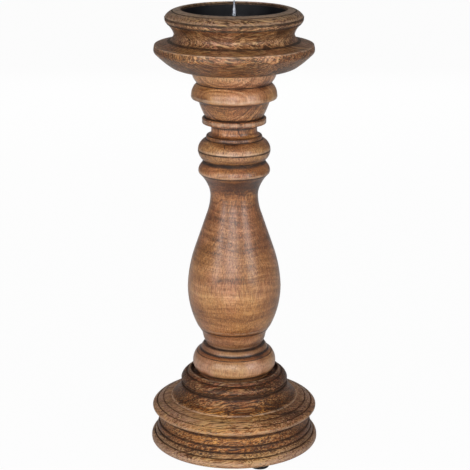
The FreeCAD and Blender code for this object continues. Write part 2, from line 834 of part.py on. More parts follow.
def foot(number, extra):
    """Round rubber foot, recessed from below for its washer and screw."""
    body = new_body("foot_%d" % number)
    top = size("foot_height")
    edge_round = size("foot_edge_round")
    radius = size("foot_radius")
    turn(body, "foot_moulding_%d" % number, [
        (radius - edge_round, NOTHING, None),
        (radius, edge_round, "quarter_round"),
        (radius, top, None),
    ])
    recess = size("washer_radius") + size("screw_gap")
    bore(body, "foot_recess_%d" % number, recess, NOTHING, size("foot_recess_depth"))
    bore(body, "foot_bore_%d" % number, foot_bore, size("foot_recess_depth"), top)
    place_at_bearing(body, foot_circle, "foot_bearing", extra)
    parts.append(body)


def foot_washer(number, extra):
    """Flat washer on the floor of the foot's recess."""
    body = new_body("foot_washer_%d" % number)
    thickness = size("washer_thickness")
    turn(body, "washer_stamping_%d" % number, [
        (size("washer_radius"), NOTHING, None),
        (size("washer_radius"), thickness, None),
    ])
    bore(body, "washer_bore_%d" % number, foot_bore, NOTHING, thickness)
    place_at_bearing(body, foot_circle, "foot_bearing", extra)
    lift(body, size("foot_recess_depth") - thickness)
    parts.append(body)


def foot_screw(number, extra):
    """Pan-head screw, up through the washer and the foot into the plinth."""
    body = new_body("foot_screw_%d" % number)
    head = size("foot_screw_head_radius")
    head_height = size("foot_screw_head_height")
    head_round = size("foot_screw_head_round")
    core_radius = size("foot_screw_core_radius")
    rubber = size("foot_height") - size("foot_recess_depth")
    wood = head_height + size("washer_thickness") + rubber
    points = [
        (head - head_round, NOTHING, None),
        (head, head_round, "screw_dome"),
        (head, head_height, None),
        (core_radius, head_height, None),
    ]
    top = thread(points, core_radius, size("foot_screw_radius"), wood, size("foot_screw_grip"),
                 FOOT_THREAD_TURNS)
    points.append((NOTHING, top + size("foot_screw_tip"), None))
    turn(body, "foot_screw_turning_%d" % number, points)
    cross_recess(body, "foot_screw_slot_%d" % number, head)
    place_at_bearing(body, foot_circle, "foot_bearing", extra)
    lift(body, size("foot_recess_depth") - size("washer_thickness") - head_height)
    parts.append(body)


for number in range(1, FOOT_COUNT + 1):
    turn_on = FULL_TURN / FOOT_COUNT * (number - 1)
    foot(number, turn_on)
    foot_washer(number, turn_on)
    foot_screw(number, turn_on)

doc.recompute()

for item in doc.Objects:
    for state in ("Invalid", "Error"):
        if state in item.State:
            raise ValueError("%s is %s" % (item.Name, state))
for body in parts:
    if body.Shape.isNull() or not body.Shape.isValid():
        raise ValueError(body.Label + " has no valid shape")

os.makedirs("parts", exist_ok=True)
for body in parts:
    body.Shape.exportStep(os.path.join("parts", body.Label + ".step"))
    box = body.Shape.BoundBox
    print("%-18s z %7.2f to %7.2f, radius %6.2f, %2d solid, volume %9.1f" % (
        body.Label, box.ZMin, box.ZMax, box.XMax, len(body.Shape.Solids), body.Shape.Volume))
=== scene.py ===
import json
import math

import bpy
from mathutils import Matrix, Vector

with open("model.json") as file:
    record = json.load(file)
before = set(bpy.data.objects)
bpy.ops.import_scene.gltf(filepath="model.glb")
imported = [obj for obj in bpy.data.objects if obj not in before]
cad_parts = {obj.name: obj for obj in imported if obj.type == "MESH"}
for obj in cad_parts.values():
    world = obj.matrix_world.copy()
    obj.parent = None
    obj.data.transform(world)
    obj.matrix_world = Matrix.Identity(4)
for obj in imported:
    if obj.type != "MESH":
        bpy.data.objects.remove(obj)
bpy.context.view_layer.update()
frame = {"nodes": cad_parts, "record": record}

# Pricket candle stand: four stained and waxed wood turnings with a black steel pan and a steel spike,
# on rubber feet. Blender's unit is the metre. Names that end in _MM hold millimetres.

MM = 0.001
PER_M = 1000.0

# Camera of the photograph, a square frame
FRAME_PX = 470
FOCAL_PX = 1560
SENSOR_MM = 36.0
CAMERA_ASIDE_MM = 0.65
CAMERA_BACK_MM = 1212.0
CAMERA_HEIGHT_MM = 528.5
CAMERA_DOWN_DEG = 16.1

# Lamps: bearing from the camera's side and height above the horizon in degrees, then distance, width
# and height in metres, and watts
LAMP_AIM_MM = 190.0
LAMPS = {
    "front_softbox": (-6.0, 17.0, 1.5, 0.85, 0.8, 7.0),
    "front_fill": (-6.0, 17.0, 1.6, 0.85, 0.8, 7.2),
    "left_strip": (-46.0, 13.0, 1.3, 0.35, 0.75, 3.6),
    "right_strip": (46.0, 13.0, 1.3, 0.4, 0.75, 4.2),
    "back_fill": (180.0, 14.0, 1.7, 1.1, 0.8, 9.0),
}
UNMIRRORED_LAMPS = ("front_fill", "back_fill")

# Room and floor: the light that the room gives, and the share of white that a mirror sees
ROOM_STRENGTH = 0.06
MIRRORED_WHITE = 0.1
WHITE = (1.0, 1.0, 1.0, 1.0)
FLOOR_ALBEDO = (0.75, 0.75, 0.75, 1.0)
FLOOR_OWN_WHITE_SHARE = 0.97
FLOOR_HALF_SIZE = 12.0

# A display's curve: straight up to the foot, and a power of the level from there
FULL_LEVEL = 255.0
CURVE_FOOT = 0.04045
CURVE_FOOT_SLOPE = 12.92
CURVE_OFFSET = 0.055
CURVE_POWER = 2.4


def tone(red, green, blue):
    """Linear colour from a display colour given as 0 to 255."""
    linear = []
    for channel in (red, green, blue):
        level = channel / FULL_LEVEL
        if level <= CURVE_FOOT:
            linear.append(level / CURVE_FOOT_SLOPE)
        else:
            linear.append(((level + CURVE_OFFSET) / (1.0 + CURVE_OFFSET)) ** CURVE_POWER)
    return (*linear, 1.0)


def grey(level):
    return (level, level, level, 1.0)


class Tree:
    """Builds the nodes of a new material or world. Most methods add nodes and return the result's socket."""

    NOISE_MIDDLE = 0.5
    NEW_STOP = 0.5

    def __init__(self, owner):
        owner.use_nodes = True
        self.owner = owner
        self.nodes = owner.node_tree.nodes
        self.links = owner.node_tree.links
        self.nodes.clear()

    def node(self, kind, settings, feeds):
        node = self.nodes.new("ShaderNode" + kind)
        for name, value in settings.items():
            setattr(node, name, value)
        for socket, value in feeds.items():
            self.feed(node.inputs[socket], value)
        return node

    def feed(self, socket, value):
        if isinstance(value, bpy.types.NodeSocket):
            self.links.new(value, socket)
        else:
            socket.default_value = value

    def math(self, operation, first, second=0.0, third=0.0):
        node = self.node("Math", {"operation": operation}, {0: first, 1: second, 2: third})
        return node.outputs[0]

    def vector(self, operation, first, second=(0.0, 0.0, 0.0)):
        node = self.node("VectorMath", {"operation": operation}, {0: first, 1: second})
        if operation in ("LENGTH", "DISTANCE"):
            return node.outputs["Value"]
        return node.outputs["Vector"]

    def split(self, vector):
        return self.node("SeparateXYZ", {}, {0: vector}).outputs[:]

    def join(self, x, y, z):
        return self.node("CombineXYZ", {}, {0: x, 1: y, 2: z}).outputs[0]

    def turned(self, vector, angles_deg):
        feeds = {"Vector": vector, "Rotation": tuple(math.radians(angle) for angle in angles_deg)}
        return self.node("VectorRotate", {"rotation_type": "EULER_XYZ"}, feeds).outputs[0]

    def point(self):
        """The place on the surface, in the frame's axes and in millimetres."""
        place = self.node("TexCoord", {}, {}).outputs["Object"]
        return self.vector("MULTIPLY", place, (PER_M, PER_M, PER_M))

    def noise(self, point, scales, detail=2.0, roughness=0.5, distortion=0.0):
        """Noise with features about one unit across, once the point is multiplied by the scales."""
        feeds = {"Vector": self.vector("MULTIPLY", point, scales), "Scale": 1.0, "Detail": detail,
                 "Roughness": roughness, "Distortion": distortion}
        return self.node("TexNoise", {}, feeds).outputs["Fac"]

    def noise_vector(self, point, scales):
        feeds = {"Vector": self.vector("MULTIPLY", point, scales), "Scale": 1.0, "Detail": 1.0}
        return self.node("TexNoise", {}, feeds).outputs["Color"]

    def noise_along(self, distance, rate, detail, roughness=0.5):
        feeds = {"W": self.math("MULTIPLY", distance, rate), "Scale": 1.0, "Detail": detail,
                 "Roughness": roughness}
        return self.node("TexNoise", {"noise_dimensions": "1D"}, feeds).outputs["Fac"]

    def between(self, value, low, high):
        """0 at low and 1 at high, eased."""
        feeds = {"Value": value, "From Min": low, "From Max": high}
        return self.node("MapRange", {"interpolation_type": "SMOOTHSTEP"}, feeds).outputs[0]

    def ramp(self, value, stops):
        node = self.node("ValToRGB", {}, {0: value})
        elements = node.color_ramp.elements
        while len(elements) < len(stops):
            elements.new(self.NEW_STOP)
        for element, (position, colour) in zip(elements, stops):
            element.position = position
            element.color = colour
        return node.outputs[0]

    def blend(self, share, first, second, how="MIX"):
        """Two colours mixed: the node takes them at sockets 6 and 7 and gives the result at 2."""
        settings = {"data_type": "RGBA", "blend_type": how, "clamp_factor": True}
        return self.node("Mix", settings, {0: share, 6: first, 7: second}).outputs[2]

    def centred(self, value, amount):
        """A noise value turned into a swing about zero."""
        return self.math("MULTIPLY", self.math("SUBTRACT", value, self.NOISE_MIDDLE), amount)

    def total(self, start, *terms):
        for term in terms:
            start = self.math("ADD", start, term)
        return start

    def bump(self, height, depth_mm):
        feeds = {"Height": height, "Distance": depth_mm * MM, "Strength": 1.0}
        return self.node("Bump", {}, feeds).outputs[0]

    def close(self, kind, shader):
        output = self.nodes.new("ShaderNodeOutput" + kind)
        self.links.new(shader.outputs[0], output.inputs[0])

    def finish(self, colour, roughness, normal, fixed):
        """Closes a material with a principled shader, whose unlinked sockets are fixed."""
        feeds = {"Base Color": colour, "Roughness": roughness, "Normal": normal, **fixed}
        self.close("Material", self.node("BsdfPrincipled", {}, feeds))
        return self.owner


# Noise in the wood: scales per millimetre, detail, roughness and distortion
CURL_NOISE = ((0.02, 0.02, 0.24), 4.0, 0.75, 0.3)
MOTTLE_NOISE = ((1.4, 1.4, 0.9), 2.0, 0.6)
PATCH_NOISE = ((0.03, 0.03, 0.035), 2.0)
GOLDEN_NOISE = ((0.03, 0.03, 0.02), 2.0)
UNEVEN_NOISE = ((0.2, 0.2, 0.6), 4.0, 0.7)
SWAY_SCALES = (0.025, 0.025, 0.025)
SEED_STEPS_MM = (37.0, 11.0, 5.0)

# Fibres, pores and glints follow a table's own grain and fibre_run, by these shares
FIBRE_ACROSS = 0.85
FIBRE_NOISE = (3.0, 0.7, 0.5)
PORE_RUN = 2.0
GLINT_ACROSS = 0.9
GLINT_RUN = 1.5
SPECK_DETAIL = 1.0

# Rings follow a table's ring_rate: detail and roughness, and the outlines' own rate and detail
RING_NOISE = (4.0, 0.7)
CONTOUR_RATE = 0.9
CONTOUR_DETAIL = 1.0

# Values at which a mask is 0 and at which it is 1
CONTOUR_EDGES = (0.05, 0.0)
PORE_EDGES = (0.55, 0.63)
GLINT_EDGES = (0.44, 0.36)
GOLDEN_EDGES = (0.4, 0.6)
UNEVEN_EDGES = (0.35, 0.6)
CRACK_EDGES_MM = (0.6, 0.2)
CRACK_END_MM = 0.6
FRONT_EDGES_MM = (0.0, -5.0)
CORE_SHARE = 0.4

# Ringed eyes: distance from ring to ring, and how far the curl bends them
EYE_RING_MM = 3.4
EYE_WAVER_MM = 6.0

# Strengths: a ramp stays at or below 1, so the swings are kept in it as shares of their top
SWING_TOP = 2.0
# RUBBED_AND_HIGHLIGHT_SHARE: how much the crests are lightened, for wear and a painted highlight
RUBBED_AND_HIGHLIGHT_SHARE = 0.5
# STAIN_AND_SHADE_EVEN and _UNEVEN: how dark the incised rings and creases are painted, for stain and painted
# shade
STAIN_AND_SHADE_EVEN = 0.65
STAIN_AND_SHADE_UNEVEN = 0.35

# The wood's surface: roughness, relief and wax
PLAIN_ROUGHNESS = 0.34
MOTTLE_ROUGHNESS = 0.3
PORE_ROUGHNESS = 0.15
# Rings and creases painted dark, with stain and painted shade, are rougher by this
STAIN_AND_SHADE_ROUGHNESS = 0.3
FIBRE_RELIEF = 0.7
CURL_RELIEF = 0.8
PORE_RELIEF = -0.45
RELIEF_MM = 0.16
WOOD_IOR = 1.5
COAT_ROUGHNESS = 0.3

# Colours of the wood, by value from dark to light, and what is laid over them
GLINT = tone(212, 172, 118)
PORE = tone(58, 33, 18)
# Colour of the crests: wear and a painted highlight
RUBBED_AND_HIGHLIGHT = tone(216, 182, 152)
WOOD_STOPS = (
    (0.0, tone(42, 21, 12)),
    (0.3, tone(92, 54, 32)),
    (0.55, tone(146, 97, 60)),
    (0.8, tone(188, 136, 94)),
    (1.0, tone(216, 172, 131)),
)
REDDER = tone(255, 241, 237)
GOLDENER = tone(255, 247, 215)

# The three wood tables. Lengths are millimetres, angles degrees and rates per millimetre.
# tilt turns the piece so that its grain runs along the local z axis. The rings lie round the pith, at
# that place across the grain. sway bends both, and seed gives the piece noise of its own.
# rings, contours, curl, fibre, mottle and patch are the strengths of what makes up the figure: growth
# rings at the two heights of rings_grow, their dark outlines, bands across the grain, fibres, specks and
# broad clouds. ring_rate, fibre_run and grain say how fine it is.
# pore_share and glint_share are the strengths of dark pores and light flecks, and fleck is that of the
# specks in the relief.
# low and high are the heights between which a depth of 0 to 1 is counted. By that depth, tints give the
# lightness, which is partly the wood's own and partly painted shade and painted light by height, hues the
# colour, which is partly painted sheen on faces turned up, and swings the strength of the figure.
# stains_and_painted_light are places with their reach and shift of lightness: a few are marks in the wood,
# most are painted shade in recesses and on sides turned from the lamps, and some are painted light.
# eyes are ringed places with their reach and strength. cracks are slits in the front with their x, foot
# and head.
# golden_half is half the width across x of the middle where the golden patches show. Beyond it, to the
# camera's left and right, the golden patches fade and far_sheen_hue is laid over the colour as a painted
# sheen.
# line is the colour laid in the incised rings and creases, partly stain and partly painted shade, and in
# the cracks. coat, gloss and shine are the wax.
STEM = {
    "tilt": (2.5, -3.0, 0.0),
    "pith": (10.0, 62.0),
    "sway": 9.0,
    "rings": (0.25, 1.5),
    "rings_grow": (245.0, 285.0),
    "ring_rate": 0.5,
    "contours": 0.1,
    "curl": 1.45,
    "fibre": 0.8,
    "fibre_run": 0.12,
    "pore_share": 0.5,
    "glint_share": 0.3,
    "mottle": 0.6,
    "patch": 0.35,
    "fleck": 1.0,
    "seed": 3.0,
    "hues": (
        (0.03, tone(243, 240, 255)), (0.067, tone(236, 240, 255)), (0.08, tone(255, 237, 212)),
        (0.09, tone(222, 232, 255)), (0.118, tone(243, 245, 255)), (0.142, tone(255, 252, 250)),
        (0.16, tone(255, 243, 215)), (0.19, tone(255, 252, 240)), (0.235, tone(255, 248, 232)),
        (0.3, tone(254, 252, 252)), (0.56, tone(255, 251, 249)), (0.59, tone(255, 249, 230)),
        (0.62, tone(255, 245, 228)), (0.66, tone(246, 245, 255)), (0.70, tone(255, 240, 234)),
        (0.717, tone(246, 251, 255)), (0.74, tone(241, 242, 255)), (0.77, tone(253, 251, 250)),
        (0.8, tone(255, 248, 232)), (0.85, tone(255, 254, 246)), (0.88, tone(255, 249, 231)),
        (0.91, tone(248, 252, 255)), (0.95, tone(255, 253, 248)),
    ),
    "line": tone(34, 19, 11),
    "grain": 1.4,
    "eyes": ((-14.0, -13.5, 214.5, 12.0, 0.14), (12.4, -15.5, 214.0, 13.0, 0.15)),
    "cracks": ((-7.4, 255.4, 258.2),),
    "golden_half": 90.0,
    "far_sheen_hue": WHITE,
    "coat": 0.8,
    "gloss": 0.6,
    "shine": tone(255, 246, 240),
    "low": 62.0,
    "high": 316.0,
    "tints": (
        (0.00, 0.66), (0.045, 1.0), (0.07, 0.84), (0.083, 0.34), (0.090, 0.68), (0.098, 0.64), (0.12, 0.61),
        (0.145, 0.60), (0.165, 0.62), (0.19, 0.76), (0.225, 0.58), (0.295, 0.86), (0.36, 0.68), (0.50, 0.58),
        (0.575, 0.54), (0.61, 0.46), (0.632, 0.26), (0.65, 0.26), (0.664, 0.72), (0.69, 0.62), (0.703, 0.44),
        (0.718, 0.66), (0.745, 0.83), (0.765, 0.52), (0.845, 0.52), (0.872, 0.64), (0.898, 0.34),
        (0.908, 0.80), (0.94, 0.84), (0.955, 0.60), (0.98, 1.0),
    ),
    "swings": (
        (0.0, 0.7), (0.10, 0.6), (0.14, 0.8), (0.28, 0.7), (0.36, 0.9), (0.64, 1.1), (0.70, 1.0), (0.78, 1.2),
        (0.86, 1.2), (0.89, 1.2), (0.90, 0.6), (0.935, 0.6), (0.95, 1.1), (1.0, 1.1),
    ),
    "stains_and_painted_light": (
        (13.0, -15.0, 214.0, 10.0, 0.22), (-13.0, -14.0, 213.0, 9.0, 0.15),
        (-28.0, -14.0, 293.0, 14.0, -0.22), (-13.0, -22.0, 240.0, 13.0, 0.18),
        (29.0, -22.0, 136.0, 20.0, -0.14), (-30.0, -20.0, 118.0, 18.0, -0.1),
        (23.0, -23.0, 67.0, 7.0, -0.25), (-23.0, -23.0, 67.0, 7.0, -0.25),
        (23.5, -24.0, 292.0, 8.0, -0.3), (-23.5, -24.0, 293.0, 9.0, -0.38),
        (22.0, -20.0, 304.0, 10.0, -0.28), (-22.0, -20.0, 304.0, 10.0, -0.18),
        (21.0, -21.0, 80.0, 7.0, -0.3), (17.0, -17.0, 225.0, 8.0, -0.25),
        (-18.0, -18.0, 273.0, 7.0, 0.15), (31.0, -14.0, 132.0, 20.0, -0.1),
        (0.0, -26.0, 255.0, 9.0, -0.08), (-14.0, -14.0, 265.0, 6.0, -0.15),
        (17.0, -18.0, 91.0, 7.0, -0.2), (20.0, -20.0, 250.0, 7.0, 0.12),
    ),
}
CUP = {
    "tilt": (6.0, 82.0, 0.0),
    "pith": (-38.0, 30.0),
    "sway": 16.0,
    "rings": (1.4, 1.2),
    "rings_grow": (320.0, 350.0),
    "ring_rate": 0.5,
    "contours": 0.3,
    "curl": 0.5,
    "fibre": 2.5,
    "fibre_run": 0.05,
    "pore_share": 1.0,
    "glint_share": 0.9,
    "mottle": 1.1,
    "patch": 0.4,
    "fleck": 2.2,
    "seed": 11.0,
    "hues": (
        (0.06, tone(255, 237, 195)), (0.19, tone(255, 248, 220)), (0.3, tone(255, 248, 232)),
        (0.43, tone(255, 253, 255)), (0.53, tone(228, 229, 255)), (0.68, tone(230, 236, 255)),
        (0.755, tone(255, 246, 248)), (0.85, tone(214, 219, 255)), (0.97, tone(205, 216, 255)),
    ),
    "line": tone(34, 20, 13),
    "grain": 1.0,
    "eyes": (),
    "cracks": (),
    "golden_half": 90.0,
    "far_sheen_hue": WHITE,
    "coat": 0.3,
    "gloss": 1.0,
    "shine": tone(255, 228, 200),
    "low": 315.0,
    "high": 362.0,
    "tints": (
        (0.0, 0.37), (0.22, 0.41), (0.33, 0.42), (0.42, 0.68), (0.47, 0.52), (0.54, 0.62), (0.62, 0.56),
        (0.76, 0.54), (0.84, 0.76), (0.93, 0.86), (1.0, 1.0),
    ),
    "swings": ((0.0, 1.0), (1.0, 1.0)),
    "stains_and_painted_light": (
        (24.0, -42.0, 357.0, 16.0, 0.14), (-36.0, -35.0, 349.0, 11.0, -0.4),
        (36.0, -35.0, 349.0, 11.0, -0.45), (34.0, -33.0, 340.0, 10.0, 0.3),
        (-34.0, -33.0, 340.0, 10.0, 0.14), (28.0, -56.0, 331.5, 13.0, 0.25),
        (-44.0, -44.0, 331.5, 11.0, 0.06), (34.0, -36.0, 318.0, 14.0, -0.3),
        (-28.0, -38.0, 318.0, 14.0, -0.22),
    ),
}
BASE = {
    "tilt": (-5.0, 98.0, 4.0),
    "pith": (70.0, 20.0),
    "sway": 16.0,
    "rings": (1.0, 0.8),
    "rings_grow": (10.0, 60.0),
    "ring_rate": 0.4,
    "contours": 0.25,
    "curl": 0.4,
    "fibre": 3.0,
    "fibre_run": 0.04,
    "pore_share": 0.8,
    "glint_share": 0.9,
    "mottle": 1.0,
    "patch": 0.45,
    "fleck": 1.8,
    "seed": 27.0,
    "hues": (
        (0.08, tone(238, 241, 255)), (0.165, tone(244, 254, 236)), (0.24, tone(255, 227, 176)),
        (0.34, tone(255, 240, 190)), (0.42, tone(255, 237, 188)), (0.48, tone(255, 240, 204)),
        (0.53, tone(255, 253, 246)), (0.57, tone(241, 244, 255)), (0.63, tone(255, 251, 226)),
        (0.66, tone(255, 236, 162)), (0.72, tone(255, 252, 236)), (0.80, tone(255, 233, 204)),
        (0.92, tone(232, 236, 255)), (0.96, tone(255, 222, 206)), (1.0, tone(215, 228, 255)),
    ),
    "line": tone(52, 31, 18),
    "grain": 1.35,
    "eyes": (),
    "cracks": (),
    "golden_half": 48.0,
    # Painted sheen on the base's sides to the camera's left and right
    "far_sheen_hue": tone(230, 235, 255),
    "coat": 0.05,
    "gloss": 0.55,
    "shine": tone(255, 232, 214),
    "low": 3.0,
    "high": 65.5,
    "tints": (
        (0.0, 1.0), (0.10, 0.88), (0.20, 0.41), (0.26, 0.42), (0.32, 0.54), (0.38, 0.60), (0.42, 0.60),
        (0.46, 0.96), (0.54, 0.92), (0.61, 0.88), (0.66, 0.30), (0.74, 0.44), (0.78, 0.26), (0.88, 0.34),
        (0.95, 0.26), (1.0, 0.40),
    ),
    "swings": ((0.0, 1.0), (1.0, 1.0)),
    "stains_and_painted_light": (
        (44.0, -44.0, 36.0, 24.0, -0.33), (58.0, -22.0, 35.0, 24.0, -0.4), (-14.0, -40.0, 58.0, 22.0, 0.15),
        (0.0, -50.0, 50.0, 14.0, -0.15), (44.0, -46.0, 13.0, 15.0, 0.25), (-44.0, -46.0, 13.0, 16.0, 0.2),
        (34.0, -38.0, 42.0, 14.0, -0.2), (44.0, -40.0, 38.5, 12.0, -0.3), (31.0, -31.0, 53.0, 8.0, 0.12),
        (34.0, -58.0, 9.0, 16.0, 0.25), (27.0, -54.0, 39.5, 14.0, -0.4), (-28.0, -26.0, 61.0, 14.0, 0.25),
        (20.0, -66.0, 6.0, 14.0, 0.2), (18.0, -64.0, 32.0, 10.0, 0.15), (50.0, -34.0, 39.0, 9.0, -0.25),
    ),
}

# Incised rings and creases painted dark, partly with stain gathered in them and partly with painted
# shade: radius, height and reach
STEM_LINES = (
    (31.0, 65.0, 3.6), (30.7, 80.8, 0.6), (27.6, 83.2, 1.4), (24.0, 87.6, 2.0), (28.6, 101.6, 1.0),
    (27.9, 230.4, 1.6), (24.5, 241.3, 3.0), (29.0, 249.8, 1.0), (22.4, 258.6, 1.2),
    (21.4, 262.6, 1.4), (18.3, 270.6, 2.6), (23.2, 276.2, 1.7), (29.4, 303.9, 0.9),
)
CUP_LINES = (
    (43.4, 315.0, 2.2), (53.2, 351.3, 1.3), (54.4, 355.0, 1.3), (48.4, 360.4, 0.9), (51.0, 336.8, 2.0),
    (41.8, 359.4, 2.2),
)
BASE_LINES = (
    (65.9, 11.2, 1.0), (63.9, 15.4, 1.2), (62.6, 20.3, 1.3), (60.4, 27.4, 1.5), (63.9, 36.8, 0.8),
    (58.7, 39.8, 0.8), (43.0, 53.8, 2.8), (39.2, 62.3, 1.1), (35.0, 63.4, 3.0),
)

# Crests painted lighter, partly rubbed by handling and partly a painted highlight: radius, height and reach
STEM_CRESTS = (
    (30.5, 104.1, 1.2), (28.4, 232.4, 1.2), (25.5, 274.0, 1.6), (33.8, 293.4, 1.8), (28.9, 251.0, 1.2),
)
CUP_CRESTS = ((62.0, 334.0, 1.6), (54.2, 356.9, 1.4), (45.8, 361.2, 4.5))
BASE_CRESTS = ((51.7, 42.0, 1.1), (67.3, 32.8, 2.0), (36.8, 65.0, 0.8), (68.6, 7.0, 1.8))


def gathered(tree, section, places):
    """1 at any of the places on the turning's section, easing to 0 at its reach."""
    mask = None
    for radius, height, reach in places:
        away = tree.vector("DISTANCE", section, (radius, height, 0.0))
        near = tree.between(away, reach, reach * CORE_SHARE)
        mask = near if mask is None else tree.math("MAXIMUM", mask, near)
    return mask


def slits(tree, x, y, z, cracks):
    """1 in thin upright cracks in the front."""
    mask = 0.0
    for crack_x, foot, head in cracks:
        aside = tree.math("ABSOLUTE", tree.math("SUBTRACT", x, crack_x))
        slit = tree.math("MULTIPLY", tree.between(aside, *CRACK_EDGES_MM), tree.between(y, *FRONT_EDGES_MM))
        slit = tree.math("MULTIPLY", slit, tree.between(z, foot, foot + CRACK_END_MM))
        slit = tree.math("MULTIPLY", slit, tree.between(z, head, head - CRACK_END_MM))
        mask = tree.math("MAXIMUM", mask, slit)
    return mask


def grain_places(tree, point, look):
    """The point moved by the seed, and the point in the grain's own axes."""
    seeded = tree.vector("ADD", point, [look["seed"] * step for step in SEED_STEPS_MM])
    sway = tree.vector("SUBTRACT", tree.noise_vector(seeded, SWAY_SCALES), (tree.NOISE_MIDDLE,) * 3)
    sway = tree.vector("MULTIPLY", sway, (look["sway"],) * 3)
    middle = (0.0, 0.0, (look["low"] + look["high"]) / 2)
    local = tree.vector("ADD", tree.vector("SUBTRACT", point, middle), sway)
    return seeded, tree.turned(local, look["tilt"])


def ring_figure(tree, local, z, look):
    """Growth rings round the pith, with their dark outlines."""
    across, deep = tree.split(local)[:2]
    from_pith = tree.vector("DISTANCE", tree.join(across, deep, 0.0), (*look["pith"], 0.0))
    few, many = look["rings"]
    strength = tree.math("MULTIPLY_ADD", tree.between(z, *look["rings_grow"]), many - few, few)
    rings = tree.centred(tree.noise_along(from_pith, look["ring_rate"], *RING_NOISE), strength)
    contour = tree.noise_along(from_pith, look["ring_rate"] * CONTOUR_RATE, CONTOUR_DETAIL)
    contour = tree.between(tree.math("ABSOLUTE", tree.centred(contour, 1.0)), *CONTOUR_EDGES)
    return tree.math("MULTIPLY_ADD", contour, -look["contours"], rings)


def by_depth(tree, depth, stops, top):
    """A number that a table gives by depth, none above the top."""
    ramp = tree.ramp(depth, [(position, grey(value / top)) for position, value in stops])
    return tree.math("MULTIPLY", tree.split(ramp)[0], top)


def lightness(tree, point, depth, curl, look):
    """Lightness by depth, partly painted shade and light, with the stain and painted light places and the
    ringed eyes.
    """
    level = by_depth(tree, depth, look["tints"], 1.0)
    # Stain places: a few marks in the wood, most painted shade in recesses and on sides turned from the
    # lamps, some painted light
    for *spot, reach, shift in look["stains_and_painted_light"]:
        near = tree.between(tree.vector("DISTANCE", point, spot), reach, 0.0)
        level = tree.math("MULTIPLY_ADD", near, shift, level)
    for *eye, reach, strength in look["eyes"]:
        away = tree.total(tree.vector("DISTANCE", point, eye), tree.centred(curl, EYE_WAVER_MM))
        ripple = tree.math("COSINE", tree.math("MULTIPLY", away, math.tau / EYE_RING_MM))
        near = tree.math("MULTIPLY", tree.between(away, reach, 0.0), strength)
        level = tree.math("MULTIPLY_ADD", near, ripple, level)
    return level


